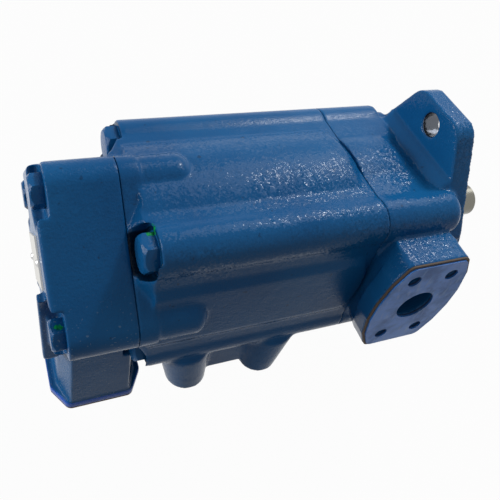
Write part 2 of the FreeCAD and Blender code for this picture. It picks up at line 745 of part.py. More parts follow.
def inlet_plate(c):
    inner, outer = plate_span(c)
    screws, pins = cartridge_spots(c)
    low, high = min(inner, outer), max(inner, outer)
    plate = tube(c["bore"] - plate_gap, spline_tip_radius + plate_bore_gap, low, high)
    for angle in notch_angles:
        plate = plate.cut(cylinder(notch_radius, low - past, high + past, *polar(c["bore"], angle)))
    plate = holed(plate, screws, cartridge_screw_radius + bolt_hole_gap, low - past, high + past)
    plate = holed(plate, screws, cartridge_screw_head + bolt_hole_gap, outer,
                  outer + c["way"] * cartridge_screw_head_depth)
    return holed(plate, pins, pin_radius + seat_gap, inner, inner - c["way"] * (pin_bite + pin_room))


def outlet_plate(c):
    way = c["way"]
    screws, pins = cartridge_spots(c)
    disc = cylinder(c["bore"] - plate_gap, c["plate_x"], c["disc_x"])
    hub = cylinder(c["hub_radius"] - run_gap, c["disc_x"], c["hub_end_x"])
    plate = fuse([disc, hub]).cut(cylinder(c["centre"], c["plate_x"] - way, c["hub_end_x"] + way))
    groove_x = c["disc_x"] + way * hub_groove_land
    groove = tube(c["hub_radius"] + past, c["hub_radius"] - 2 * hub_seal_section, groove_x,
                  groove_x + way * (2 * hub_seal_section + hub_backup_width + hub_groove_gap))
    plate = plate.cut(groove)
    for angle in pressure_angles:
        plate = plate.cut(cylinder(port_hole_radius, c["plate_x"] - way, c["hub_end_x"] + way,
                                   *polar(c["minor"] - pressure_hole_inset, angle)))
    plate = holed(plate, screws, cartridge_screw_radius + thread_gap, c["plate_x"],
                  c["plate_x"] + way * (cartridge_screw_bite + bite_room))
    return holed(plate, pins, pin_radius + seat_gap, c["plate_x"],
                 c["plate_x"] + way * (pin_bite + pin_room))


def hub_seal(c):
    """Rubber ring and its backup ring side by side in the hub's groove."""
    way = c["way"]
    start = c["disc_x"] + way * hub_groove_land
    seal = Part.makeTorus(c["hub_radius"] - hub_seal_section - seat_gap, hub_seal_section - 2 * seat_gap,
                          V(start + way * hub_seal_section, 0, 0), AXIS)
    low = start + way * (2 * hub_seal_section + seat_gap)
    backup = tube(c["hub_radius"] - seat_gap, c["hub_radius"] - 2 * hub_seal_section + seat_gap, low,
                  low + way * hub_backup_width)
    return seal, backup


def flex_plates(c):
    screws, pins = cartridge_spots(c)
    plates = []
    low, high = ring_span(c)
    for x0, x1 in ((low - flex_thickness, low), (high, high + flex_thickness)):
        plate = tube(c["ring_radius"], flex_bore, x0, x1)
        for angle in pressure_angles:
            y, z = polar(c["minor"] - pressure_hole_inset, angle)
            plate = plate.cut(cylinder(port_hole_radius, x0 - past, x1 + past, y, z))
        plate = holed(plate, screws, cartridge_screw_radius + bolt_hole_gap, x0 - past, x1 + past)
        plates.append(holed(plate, pins, pin_radius + seat_gap, x0 - past, x1 + past))
    return Part.makeCompound(plates)


def cartridge_screws(c):
    screws, _ = cartridge_spots(c)
    _, outer = plate_span(c)
    way = c["way"]
    tip = c["plate_x"] + way * cartridge_screw_bite
    head = outer + way * cartridge_screw_head_depth
    solids = []
    for y, z in screws:
        screw = cylinder(cartridge_screw_radius, head, tip, y, z)
        cap = cylinder(cartridge_screw_head, outer + way * cartridge_screw_sink, head, y, z)
        solids.append(fuse([screw, cap]))
    return Part.makeCompound(solids)


def locating_pins(c):
    _, pins = cartridge_spots(c)
    inner, _ = plate_span(c)
    return Part.makeCompound([cylinder(pin_radius, inner - c["way"] * pin_bite,
                                       c["plate_x"] + c["way"] * pin_bite, y, z) for y, z in pins])


# Fasteners, plates and seals
def bolts(spots, flats, head, radius, seat_x, tip_x):
    solids = []
    for y, z in spots:
        cap = hexagon(flats, seat_x - head, seat_x, y, z)
        solids.append(fuse([cap, cylinder(radius, seat_x, tip_x, y, z)]))
    return Part.makeCompound(solids)


def port_sheet(outline, spots, plane, x, bore, face, thickness, radius):
    sheet = rounded_prism(shifted(outline, x), plane, -face - thickness, -face, radius)
    for tool in pattern_holes(spots, plane, outlet_screw_hole + sheet_hole_gap, face + thickness, thickness):
        sheet = sheet.cut(tool)
    for tool in pattern_holes([(x, 0)], plane, bore + sheet_hole_gap, face + thickness, thickness):
        sheet = sheet.cut(tool)
    return sheet


def sheets(outline, spots, plane, x, bore, face, half_a, half_b):
    """Card gasket on the pad and the thin transit sheet over it."""
    card = port_sheet(inset(outline, gasket_inset, half_a, half_b), spots, plane, x, bore, face,
                      gasket_thickness, pad_corner_radius)
    sheet = port_sheet(inset(outline, sheet_inset, half_a, half_b), spots, plane, x, bore,
                       face + gasket_thickness, sheet_thickness, pad_corner_radius)
    return card, sheet


def nameplate_screw(z):
    """Round-headed screw turned from one outline, which runs from its axis to its rim."""
    top = cover_end_x - nameplate_thickness
    tip = cover_end_x + nameplate_screw_length - nameplate_screw_room
    crest = V(top - nameplate_screw_rise, 0, 0)
    slope = V(top - nameplate_screw_rise * math.sqrt(0.75), nameplate_screw_head / 2, 0)
    rim = V(top, nameplate_screw_head, 0)
    neck = V(top, nameplate_screw_radius, 0)
    corner = V(tip, nameplate_screw_radius, 0)
    end = V(tip, 0, 0)
    dome = Part.Arc(crest, slope, rim).toShape()
    lines = [Part.makeLine(p, q) for p, q in ((rim, neck), (neck, corner), (corner, end), (end, crest))]
    screw = Part.Face(Part.Wire([dome] + lines)).revolve(V(0, 0, 0), AXIS, 360)
    screw.translate(V(0, 0, z))
    return screw


def nameplate():
    """Plate and screws, built upright and then turned to lie along the cover's sides."""
    plate = box((cover_end_x - nameplate_thickness, cover_end_x),
                (-nameplate_width / 2, nameplate_width / 2),
                (-nameplate_length / 2, nameplate_length / 2))
    heights = (-nameplate_screw_offset, nameplate_screw_offset)
    plate = holed(plate, [(0, z) for z in heights], nameplate_screw_radius + nameplate_hole_gap,
                  cover_end_x - nameplate_thickness, cover_end_x)
    screws = Part.makeCompound([nameplate_screw(z) for z in heights])
    return spun(plate, nameplate_turn), spun(screws, nameplate_turn)


def main():
    os.makedirs("parts", exist_ok=True)
    write("shaft_end_body", shaft_end_body())
    write("inlet_body", inlet_body())
    write("outlet_cover", outlet_cover())
    write("drive_shaft", drive_shaft())
    write("shaft_key", box(key_x, (key_floor, key_floor + key_width), (-key_width / 2, key_width / 2)))
    for name, solid in zip(("outer_race", "inner_race", "balls", "cage"), bearing()):
        write(f"bearing_{name}", solid)
    write("shaft_snap_ring", snap_ring(shaft_snap_outer, shaft_snap_inner, bearing_back_x - snap_thickness))
    write("housing_snap_ring", snap_ring(housing_snap_outer - seat_gap, housing_snap_inner, bearing_front_x))
    for name, solid in zip(("case", "lip"), shaft_seal()):
        write(f"shaft_seal_{name}", solid)
    write("tail_bush", tube(rear["centre"] - seat_gap, tail_radius + run_gap, rear["hub_end_x"],
                            rear["plate_x"]))
    for c in (front, rear):
        write(f"{c['name']}_cam_ring", cam_ring(c))
        write(f"{c['name']}_rotor", rotor(c))
        write(f"{c['name']}_inlet_plate", inlet_plate(c))
        write(f"{c['name']}_outlet_plate", outlet_plate(c))
        write(f"{c['name']}_flex_plates", flex_plates(c))
        write(f"{c['name']}_cartridge_screws", cartridge_screws(c))
        write(f"{c['name']}_locating_pins", locating_pins(c))
        for i in range(vane_count):
            write(f"{c['name']}_vane_{i + 1}", vane(c, i))
    seals = [hub_seal(c) for c in (front, rear)]
    write("hub_seals", Part.makeCompound([seal for seal, _ in seals]))
    write("hub_backup_rings", Part.makeCompound([backup for _, backup in seals]))
    write("body_joint_seal", Part.makeTorus(front_joint_seal_circle, joint_seal_section - seat_gap,
                                            V(body_joint_x + joint_seal_section, 0, 0), AXIS))
    write("cover_joint_seal", Part.makeTorus(rear_joint_seal_circle, rear_joint_seal_section - seat_gap,
                                             V(cover_joint_x - rear_joint_seal_section, 0, 0), AXIS))
    write("body_bolts", bolts(body_bolt_spots, body_bolt_flats, body_bolt_head, body_bolt_radius,
                              body_bolt_seat_x, body_bolt_tip_x))
    write("cover_bolts", bolts(cover_bolt_spots, cover_bolt_flats, cover_bolt_head, cover_bolt_radius,
                               cover_bolt_seat_x, cover_bolt_tip_x))
    card, sheet = sheets(outlet_1_outline, outlet_1_spots, "y", outlet_1_x, outlet_1_bore, outlet_1_face,
                         outlet_1_pad_side, outlet_1_pad_half)
    write("outlet_1_gasket", card)
    write("outlet_1_sheet", sheet)
    card, sheet = sheets(outlet_2_outline, outlet_2_spots, "z", outlet_2_x, outlet_2_bore, outlet_2_face,
                         outlet_2_pad_side, outlet_2_pad_half)
    write("outlet_2_gasket", card)
    write("outlet_2_sheet", sheet)
    plate, screws = nameplate()
    write("nameplate", plate)
    write("nameplate_screws", screws)


main()
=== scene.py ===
import json
import math

import bpy
from mathutils import Matrix, Vector


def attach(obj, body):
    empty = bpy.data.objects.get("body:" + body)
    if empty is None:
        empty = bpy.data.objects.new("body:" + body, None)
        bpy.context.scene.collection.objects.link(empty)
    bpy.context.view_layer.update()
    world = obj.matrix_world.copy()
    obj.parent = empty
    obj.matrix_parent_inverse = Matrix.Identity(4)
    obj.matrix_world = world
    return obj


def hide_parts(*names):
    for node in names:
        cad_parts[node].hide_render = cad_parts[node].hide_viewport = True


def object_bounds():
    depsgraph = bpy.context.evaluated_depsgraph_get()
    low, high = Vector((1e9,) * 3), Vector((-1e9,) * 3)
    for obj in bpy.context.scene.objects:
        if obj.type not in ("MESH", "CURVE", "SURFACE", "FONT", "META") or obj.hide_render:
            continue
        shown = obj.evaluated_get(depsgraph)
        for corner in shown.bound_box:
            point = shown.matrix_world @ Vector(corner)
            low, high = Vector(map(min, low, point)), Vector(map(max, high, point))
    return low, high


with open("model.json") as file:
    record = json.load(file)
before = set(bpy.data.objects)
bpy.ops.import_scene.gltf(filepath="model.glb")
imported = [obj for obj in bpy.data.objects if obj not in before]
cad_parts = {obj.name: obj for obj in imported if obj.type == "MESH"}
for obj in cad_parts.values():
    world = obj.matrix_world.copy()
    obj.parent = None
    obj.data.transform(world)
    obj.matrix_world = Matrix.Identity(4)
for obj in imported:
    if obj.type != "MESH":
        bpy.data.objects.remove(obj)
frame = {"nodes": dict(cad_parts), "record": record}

bl_info = {
    "name": "Tandem vane pump finish",
    "version": (1, 0, 0),
    "blender": (4, 5, 0),
    "location": "3D View > Sidebar > Pump",
    "description": "Painted castings, bare metal and stage for a tandem hydraulic vane pump",
    "category": "Object",
}

CAD_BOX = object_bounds()
NODES = frame["nodes"]
MM = 0.001
X, Y, Z = range(3)
WHITE = (1.0, 1.0, 1.0)

# Places on the castings, along the shaft (X), across it (Y) and up (Z)

FLANGE_FACE_X = 0.0
FLANGE_BACK_X = -13.2 * MM
BODY_JOINT_X = -62.0 * MM
COVER_JOINT_X = -201.1 * MM
COVER_END_X = -242.0 * MM
INLET_X = -136.0 * MM
INLET_FACE_Z = -80.0 * MM
OUTLET_1_FACE_Y = -75.0 * MM
OUTLET_2_FACE_Z = -107.4 * MM
EAR_HOLE_HEIGHT = 73.0 * MM
EAR_HOLE_RADIUS = 7.15 * MM
BARE_RADIUS = EAR_HOLE_RADIUS + 0.35 * MM
BARE_START_X = FLANGE_BACK_X + 0.8 * MM
BODY_BOLT_SPOT = 40.76 * MM
POCKET_FLOOR_X = -190.2 * MM
POCKET_RADII = (11.3 * MM, 13.5 * MM)

# Each pad's centre, and the squash that makes its own axis count for nothing and its longer one for less

PADS = (
    (Vector((-36.4, -75.5, 0.0)) * MM, (1.0, 0.0, 0.75)),
    (Vector((-214.0, 0.0, -108.0)) * MM, (1.0, 0.77, 0.0)),
)
PAD_RIM = 28.3 * MM

# Centre and radius of both inspection marks

GREEN_MARKS = (
    (Vector((-192.2, -35.7, 52.2)) * MM, 2.8 * MM),
    (Vector((-238.5, -51.5, 10.0)) * MM, 2.8 * MM),
)


# Picking and copying

MERGE_DISTANCE = 0.002 * MM


def deselect():
    for obj in bpy.context.selected_objects:
        obj.select_set(False)


def activate(obj):
    deselect()
    obj.select_set(True)
    bpy.context.view_layer.objects.active = obj


def cad_copy(node, name):
    """Copy of a CAD node's mesh with its doubled points merged."""
    obj = bpy.data.objects.new(name, NODES[node].data.copy())
    bpy.context.scene.collection.objects.link(obj)
    obj.data.materials.clear()
    activate(obj)
    bpy.ops.object.mode_set(mode="EDIT")
    bpy.ops.mesh.select_all(action="SELECT")
    bpy.ops.mesh.remove_doubles(threshold=MERGE_DISTANCE)
    bpy.ops.object.mode_set(mode="OBJECT")
    return obj


def apply_modifier(obj, kind, **settings):
    activate(obj)
    modifier = obj.modifiers.new(kind.title(), kind)
    for key, value in settings.items():
        setattr(modifier, key, value)
    bpy.ops.object.modifier_apply(modifier=modifier.name)


# Shader building

class Wire:
    """A socket that takes part in arithmetic. Each operation adds a Math node."""

    def __init__(self, nodes, socket):
        self.nodes = nodes
        self.socket = socket

    def __add__(self, other):
        return self.nodes.maths("ADD", self, other)

    def __sub__(self, other):
        return self.nodes.maths("SUBTRACT", self, other)

    def __mul__(self, other):
        return self.nodes.maths("MULTIPLY", self, other)

    def __radd__(self, other):
        return self.nodes.maths("ADD", other, self)

    def __rsub__(self, other):
        return self.nodes.maths("SUBTRACT", other, self)

    def __rmul__(self, other):
        return self.nodes.maths("MULTIPLY", other, self)

    def above(self, edge, soft):
        """0 below the edge, 1 above it, with a soft step between."""
        return self.nodes.node("MapRange", {"interpolation_type": "SMOOTHSTEP", "clamp": True},
                               {"Value": self, "From Min": edge - soft, "From Max": edge + soft})

    def below(self, edge, soft):
        """1 below the edge, 0 above it, with a soft step between."""
        return 1.0 - self.above(edge, soft)

    def between(self, low, high):
        """The low value where this is 0, and the high value where it is 1."""
        return low + self * (high - low)


class Nodes:
    """A node tree, and the nodes that are added to it."""

    def __init__(self, tree):
        self.tree = tree

    def node(self, kind, settings=None, inputs=None, output=0):
        made = self.tree.nodes.new(f"ShaderNode{kind}")
        for key, value in (settings or {}).items():
            setattr(made, key, value)
        for key, value in (inputs or {}).items():
            self.feed(made.inputs[key], value)
        return Wire(self, made.outputs[output])

    def feed(self, socket, value):
        if isinstance(value, Wire):
            self.tree.links.new(value.socket, socket)
        else:
            socket.default_value = value

    def maths(self, operation, *values):
        return self.node("Math", {"operation": operation}, dict(enumerate(values)))

    def vector_maths(self, operation, *values, output="Vector"):
        return self.node("VectorMath", {"operation": operation}, dict(enumerate(values)), output)


class Finish(Nodes):
    """One material and the nodes that make its surface."""

    def __init__(self, name):
        self.material = bpy.data.materials.new(name)
        self.material.use_nodes = True
        super().__init__(self.material.node_tree)
        self.shader = self.tree.nodes["Principled BSDF"]

    def place(self):
        """Position on the piece, in metres."""
        return self.node("TexCoord", output="Object")

    def places(self):
        """Position along the shaft, across it and up."""
        split = self.node("SeparateXYZ", {}, {"Vector": self.place()}).socket.node
        return [Wire(self, socket) for socket in split.outputs]

    def distance_to(self, point, squash=(1.0, 1.0, 1.0)):
        """Distance from a point of the piece, in metres, counted less along a squashed axis."""
        offset = self.vector_maths("SUBTRACT", self.place(), point)
        return self.vector_maths("LENGTH", self.vector_maths("MULTIPLY", offset, squash), output="Value")

    def radius(self, first, second):
        """Distance from an axis, from the two offsets square to it."""
        return self.maths("SQRT", first * first + second * second)

    def noise(self, scale, detail=2.0, roughness=0.5, stretch=None):
        vector = self.place()
        if stretch:
            vector = self.node("Mapping", {}, {"Vector": vector, "Scale": stretch})
        return self.node("TexNoise", {},
                         {"Vector": vector, "Scale": scale, "Detail": detail, "Roughness": roughness})

    def blend(self, factor, low, high):
        """Colour between two colours."""
        return self.node("Mix", {"data_type": "RGBA"}, {0: factor, 6: low, 7: high}, output=2)

    def bump(self, height, depth, strength=1.0, under=None):
        inputs = {"Height": height, "Distance": depth, "Strength": strength}
        if under is not None:
            inputs["Normal"] = under
        return self.node("Bump", {}, inputs)

    def set(self, **sockets):
        """Feeds the shader. A name's underscores stand for spaces."""
        for key, value in sockets.items():
            self.feed(self.shader.inputs[key.replace("_", " ")], value)
        return self.material


def shade(value):
    """Opaque colour from three numbers."""
    return (*value, 1.0)


# User values

class PumpLook(bpy.types.PropertyGroup):
    enamel: bpy.props.FloatVectorProperty(
        name="Enamel", description="Blue of the painted castings", subtype="COLOR", size=3,
        default=(0.007, 0.092, 0.248), min=0.0, max=1.0)
    enamel_deep: bpy.props.FloatVectorProperty(
        name="Deep enamel", description="Blue where the paint pooled", subtype="COLOR", size=3,
        default=(0.004, 0.068, 0.2), min=0.0, max=1.0)
    gloss: bpy.props.FloatProperty(
        name="Gloss", description="Specular level of the enamel", default=0.09, min=0.0, max=1.0)
    voxel: bpy.props.FloatProperty(
        name="Casting grain", description="Size of the mesh cells that the castings are rebuilt with",
        default=0.9 * MM, unit="LENGTH")
    rounding: bpy.props.IntProperty(
        name="Rounding", description="Smoothing passes that round the cast edges", default=8, min=0, max=40)
    rim_rounding: bpy.props.IntProperty(
        name="Rim rounding", description="Smoothing passes beside the machined faces", default=1, min=0,
        max=40)
    root_melt: bpy.props.IntProperty(
        name="Root melt", description="Smoothing passes at the inlet lobes' roots and the ears' lips",
        default=30, min=0, max=80)
    machined_margin: bpy.props.FloatProperty(
        name="Machined margin", description="Width beside a machined face that keeps a crisper edge",
        default=1.6 * MM, unit="LENGTH")
    bolt_bevel: bpy.props.FloatProperty(
        name="Bolt bevel", description="Rounding of the painted bolt heads' edges", default=0.7 * MM,
        unit="LENGTH")


class StageLook(bpy.types.PropertyGroup):
    floor_gap: bpy.props.FloatProperty(
        name="Floor gap", description="Distance from the lowest point to the floor", default=0.2 * MM,
        unit="LENGTH")
    key_power: bpy.props.FloatProperty(
        name="Key power", description="Power of the soft key lamp in watts", default=6.3, min=0.0)
    glint_power: bpy.props.FloatProperty(
        name="Glint power", description="Power of the small lamp that makes the paint glint, in watts",
        default=6.0, min=0.0)
    side_power: bpy.props.FloatProperty(
        name="Side power", description="Power of the lamp that faces the end cover, in watts", default=9.0,
        min=0.0)
    world_level: bpy.props.FloatProperty(
        name="World level", description="Strength of the surrounding light", default=0.3, min=0.0)
    floor_level: bpy.props.FloatProperty(
        name="Floor level", description="Share of light that the floor gives back to the object",
        default=0.2, min=0.0, max=1.0)


def look():
    return bpy.context.scene.pump_look


# Enamel. Noise scales are cells per metre

PATCH_SCALE = 24.0
DRIFT_SCALE = 14.0
PEBBLE_SCALE = 850.0
PEEL_SCALE = 380.0
CAST_SCALE = 110.0
SPECK_SCALE = 240.0
PALE_SPECK_SCALE = 800.0
WANDER_SCALE = 420.0
STREAK_SCALE = 700.0
GRAIN_DEPTH = 0.25 * MM
CAST_DEPTH = 0.35 * MM
FACET_SIZE = 1.1 * MM
COARSE_FLOOR_Z = 30.0 * MM
COARSE_BACK_Y = 26.0 * MM
COARSE_END_X = -196.0 * MM
PALE_SPECK_START_X = COVER_JOINT_X - 1.9 * MM
PALE_SPECK_TOP_Z = 16.0 * MM
FILM_TOP_Z = -101.6 * MM
MARK_WANDER = 5.0 * MM
ENAMEL_ROUGHNESS = 0.09
SPECK_COLOUR = (0.006, 0.02, 0.05)
# Painted shade, nearly black, for the bolt pockets
POCKET_SHADE_COLOUR = (0.001, 0.008, 0.02)
PALE_SPECK_COLOUR = (0.25, 0.33, 0.4)
MARK_DARK = (0.002, 0.07, 0.03)
MARK_BRIGHT = (0.005, 0.27, 0.05)
FILM_COLOUR = (0.016, 0.1, 0.5)
BARE_COLOUR = (0.11, 0.12, 0.14)


def ear_bore_mask(f):
    """1 on the wall of both mounting holes, which the drill left bare."""
    along, across, up = f.places()
    radius = f.radius(across, f.maths("ABSOLUTE", up) - EAR_HOLE_HEIGHT)
    return radius.below(BARE_RADIUS, soft=0.15 * MM) * along.above(BARE_START_X, soft=0.3 * MM)


def pocket_shade_mask(f):
    """1 in the ring between a body bolt's head and the wall of its pocket, where the pocket's shade is
    painted in dark.
    """
    along, across, up = f.places()
    radius = f.radius(*(f.maths("ABSOLUTE", axis) - BODY_BOLT_SPOT for axis in (across, up)))
    inner, outer = POCKET_RADII
    ring = radius.above(inner, soft=0.2 * MM) * radius.below(outer, soft=0.2 * MM)
    past_joint = along.above(COVER_JOINT_X + 0.1 * MM, soft=0.1 * MM)
    return ring * past_joint * along.below(POCKET_FLOOR_X, soft=0.3 * MM)


def coarse_mask(f):
    """1 on the upper near side, where the cast grain glints, and less towards the end cover."""
    along, across, up = f.places()
    upper_near = up.above(COARSE_FLOOR_Z, soft=12.0 * MM) * across.below(COARSE_BACK_Y, soft=8.0 * MM)
    return upper_near * along.above(COARSE_END_X, soft=6.0 * MM).between(0.3, 1.0)


def low_cover_mask(f):
    """1 low on the end cover."""
    along, _, up = f.places()
    return along.below(PALE_SPECK_START_X, soft=4.0 * MM) * up.below(PALE_SPECK_TOP_Z, soft=14.0 * MM)


def faceted(f, normal, size, tilt):
    """The normal tilted a little another way in each small cell, as on paint over cast grain."""
    cell = f.node("TexVoronoi", {}, {"Vector": f.place(), "Scale": 1.0 / size}, output="Color")
    lean = f.vector_maths("SUBTRACT", cell, (0.5, 0.5, 0.5))
    lean = f.node("VectorMath", {"operation": "SCALE"}, {0: lean, "Scale": tilt})
    return f.vector_maths("NORMALIZE", f.vector_maths("ADD", normal, lean))


def enamel_normal(f, rough_patch, coarse):
    """Fine grain and peel over the cast surface, with facets where it is coarse."""
    pebble = f.noise(PEBBLE_SCALE, detail=1.0, roughness=0.6) * rough_patch.between(0.4, 0.7)
    peel = f.noise(PEEL_SCALE, detail=1.0) * rough_patch.between(0.2, 0.5)
    normal = f.bump(pebble + peel, GRAIN_DEPTH)
    normal = f.bump(f.noise(CAST_SCALE), CAST_DEPTH, strength=0.6, under=normal)
    return faceted(f, normal, FACET_SIZE, coarse * rough_patch.between(0.12, 0.32))


def green_mark(f, colour, place, size, wander):
    """The colour with a streaky green spot laid over it."""
    mark = (f.distance_to(place) + wander).below(size + MARK_WANDER / 2, soft=0.3 * MM)
    streak = f.noise(STREAK_SCALE, detail=1.0).above(0.45, soft=0.12)
    return f.blend(mark * 0.9, colour, f.blend(streak, shade(MARK_DARK), shade(MARK_BRIGHT)))


def enamel_colour(f):
    """Two blues that drift into each other, with specks, painted shade in the bolt pockets, pale specks low
    on the end cover, green marks and a film.
    """
    drift = f.noise(DRIFT_SCALE, detail=3.0).above(0.5, soft=0.2)
    colour = f.blend(drift, shade(look().enamel), shade(look().enamel_deep))
    specks = f.noise(SPECK_SCALE, detail=1.0).above(0.76, soft=0.03)
    colour = f.blend(specks * 0.5, colour, shade(SPECK_COLOUR))
    # Painted shade: the ring round each body bolt's head in its pocket is darkened nearly to black
    colour = f.blend(pocket_shade_mask(f) * 0.85, colour, shade(POCKET_SHADE_COLOUR))
    # Pale specks scattered low on the end cover
    pale_specks = f.noise(PALE_SPECK_SCALE, detail=0.0).above(0.75, soft=0.02) * low_cover_mask(f)
    colour = f.blend(pale_specks * 0.32, colour, shade(PALE_SPECK_COLOUR))
    wander = f.noise(WANDER_SCALE) * MARK_WANDER
    for place, size in GREEN_MARKS:
        colour = green_mark(f, colour, place, size, wander)
    film = f.places()[Z].below(FILM_TOP_Z, soft=0.3 * MM)
    return f.blend(film, colour, shade(FILM_COLOUR))


def enamel_finish():
    """Gloss enamel on a rough casting, with bare metal inside the mounting holes."""
    f = Finish("Blue enamel")
    rough_patch = f.noise(PATCH_SCALE).above(0.5, soft=0.1)
    coarse = coarse_mask(f)
    bare = ear_bore_mask(f)
    gloss_loss = rough_patch * 0.03 + (1.0 - coarse) * 0.13
    return f.set(Base_Color=f.blend(bare, enamel_colour(f), shade(BARE_COLOUR)), Metallic=bare,
                 Roughness=ENAMEL_ROUGHNESS + gloss_loss + bare * 0.1,
                 Normal=enamel_normal(f, rough_patch, coarse), Specular_IOR_Level=look().gloss)


# Other materials

CARD_EDGE = (0.05, 0.032, 0.02)
CARD_PAINTED = (0.003, 0.03, 0.1)
SHEET_BLUE = (0.03, 0.19, 0.62)
SHEET_STAIN = (0.022, 0.095, 0.3)
SHEET_SCUFF = (0.13, 0.26, 0.5)
SHEET_RIM = (0.03, 0.16, 0.5)
SHEET_RIM_WIDTH = 1.0 * MM
SHEET_WAVE = 0.8 * MM
STAIN_SCALE = 70.0
SCUFF_SCALE = 300.0
SCUFF_STRETCH = (1.0, 1.0, 0.25)
WAVE_SCALE = 45.0
FINE_SCALE = 400.0
PLAIN_SPREAD = 0.05
STEEL_SPREAD = 0.07
LINE_DEPTH = 0.02 * MM
TURNED_STRETCH = (6.0, 1.0, 1.0)


def pad_rim_mask(f, inner):
    """1 on the outer rim of both port pads and 0 round their holes."""
    near_pads = [f.distance_to(centre, squash).above(inner, soft=0.3 * MM) for centre, squash in PADS]
    return near_pads[0] * near_pads[1]


def card_finish():
    """Brown card where its edge shows, darkened by blue paint inside the holes."""
    f = Finish("Gasket card")
    colour = f.blend(pad_rim_mask(f, PAD_RIM), shade(CARD_PAINTED), shade(CARD_EDGE))
    return f.set(Base_Color=colour, Roughness=f.noise(FINE_SCALE).between(0.7, 0.8))


def sheet_finish():
    """Blue transit sheet, scuffed and stained where it lay against other things."""
    f = Finish("Blue sheet")
    stain = f.noise(STAIN_SCALE, detail=4.0, roughness=0.65).above(0.52, soft=0.16)
    scuff = f.noise(SCUFF_SCALE, detail=3.0, stretch=SCUFF_STRETCH).above(0.62, soft=0.06)
    wave = f.noise(WAVE_SCALE, detail=1.0)
    rim = pad_rim_mask(f, PAD_RIM - SHEET_RIM_WIDTH)
    colour = f.blend(stain, shade(SHEET_BLUE), shade(SHEET_STAIN))
    colour = f.blend(scuff * 0.5, colour, shade(SHEET_SCUFF))
    colour = f.blend(rim * 0.3, colour, shade(SHEET_RIM))
    return f.set(Base_Color=colour, Roughness=stain.between(0.34, 0.49),
                 Normal=f.bump(wave, SHEET_WAVE, strength=0.7), Specular_IOR_Level=0.25)


def steel_finish(name, colour, roughness, grain_scale):
    """Steel with fine lines round the shaft's axis, left by turning or grinding."""
    f = Finish(name)
    lines = f.noise(grain_scale, stretch=TURNED_STRETCH)
    return f.set(Base_Color=shade(colour), Metallic=1.0,
                 Roughness=lines.between(roughness - STEEL_SPREAD, roughness + STEEL_SPREAD),
                 Normal=f.bump(lines, LINE_DEPTH, strength=0.5))


def plain_finish(name, colour, roughness, metallic=0.0):
    f = Finish(name)
    grain = f.noise(FINE_SCALE)
    return f.set(Base_Color=shade(colour), Metallic=metallic,
                 Roughness=grain.between(roughness - PLAIN_SPREAD, roughness + PLAIN_SPREAD))


# Castings

CASTING_TRIANGLES = 170000
CASTING_CREASE = math.radians(40)
BOLT_EDGE = math.radians(25)
BOLT_CREASE = math.radians(50)
LOBE_ROOT_Z = (-68.0 * MM, -44.0 * MM)
LOBE_ROOT_RADIUS = 42.0 * MM
LOBE_ROOT_REACH = 52.0 * MM
EAR_LIP_X = (-31.0 * MM, -13.8 * MM)
EAR_LIP_HEIGHT = 44.0 * MM
EAR_LIP_HALF_WIDTH = 38.0 * MM
MACHINED_FACES = {
    "shaft_end_body": ((X, FLANGE_FACE_X), (X, BODY_JOINT_X), (Y, OUTLET_1_FACE_Y)),
    "inlet_body": ((X, BODY_JOINT_X), (X, COVER_JOINT_X), (Z, INLET_FACE_Z)),
    "outlet_cover": ((X, COVER_JOINT_X), (X, COVER_END_X), (Z, OUTLET_2_FACE_Z)),
}


def lobe_root(point):
    """True on the outside of the stretch where the inlet's lobes grow out of the body."""
    low, high = LOBE_ROOT_Z
    outside = math.hypot(point.x - INLET_X, point.y) > LOBE_ROOT_RADIUS
    return outside and low < point.z < high and abs(point.x - INLET_X) < LOBE_ROOT_REACH


def ear_lip(point):
    """True round the lip at the root of either ear, on the back of the flange."""
    low, high = EAR_LIP_X
    return low < point.x < high and abs(point.z) > EAR_LIP_HEIGHT and abs(point.y) < EAR_LIP_HALF_WIDTH


MELTED = {"inlet_body": lobe_root, "shaft_end_body": ear_lip}


def point_group(obj, name, chosen):
    """Adds a vertex group of the points for which chosen is true, and gives its name."""
    group = obj.vertex_groups.new(name=name)
    group.add([v.index for v in obj.data.vertices if chosen(v.co)], 1.0, "REPLACE")
    return group.name


def smooth(obj, passes, group=""):
    apply_modifier(obj, "SMOOTH", factor=0.5, iterations=passes, vertex_group=group)


def rough_casting(node, material):
    """The casting with rounded cast edges, and with sharp edges beside its machined faces."""
    margin = look().machined_margin

    def cast_surface(point):
        return all(abs(point[axis] - place) >= margin for axis, place in MACHINED_FACES[node])

    obj = cad_copy(node, f"{node}_cast")
    apply_modifier(obj, "REMESH", mode="VOXEL", voxel_size=look().voxel)
    cast = point_group(obj, "cast", cast_surface)
    smooth(obj, look().rim_rounding)
    smooth(obj, look().rounding, cast)
    if node in MELTED:
        smooth(obj, look().root_melt, point_group(obj, "roots", MELTED[node]))
    triangles = 2 * len(obj.data.polygons)
    apply_modifier(obj, "DECIMATE", decimate_type="COLLAPSE", ratio=min(1.0, CASTING_TRIANGLES / triangles))
    activate(obj)
    bpy.ops.object.shade_smooth_by_angle(angle=CASTING_CREASE)
    obj.data.materials.append(material)
    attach(obj, "housing")
    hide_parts(node)


def painted_bolts(node, material):
    """The bolts with the edges of their heads softened by paint."""
    obj = cad_copy(node, f"{node}_painted")
    apply_modifier(obj, "BEVEL", width=look().bolt_bevel, segments=3, limit_method="ANGLE",
                   angle_limit=BOLT_EDGE)
    activate(obj)
    bpy.ops.object.shade_smooth_by_angle(angle=BOLT_CREASE)
    obj.data.materials.append(material)
    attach(obj, "housing")
    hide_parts(node)


class PUMP_OT_castings(bpy.types.Operator):
    """Rebuild the three castings with rounded edges and blue enamel"""
    bl_idname = "pump.castings"
    bl_label = "Castings"

    def execute(self, context):
        enamel = enamel_finish()
        for node in MACHINED_FACES:
            rough_casting(node, enamel)
        for node in ("body_bolts", "cover_bolts"):
            painted_bolts(node, enamel)
        return {"FINISHED"}


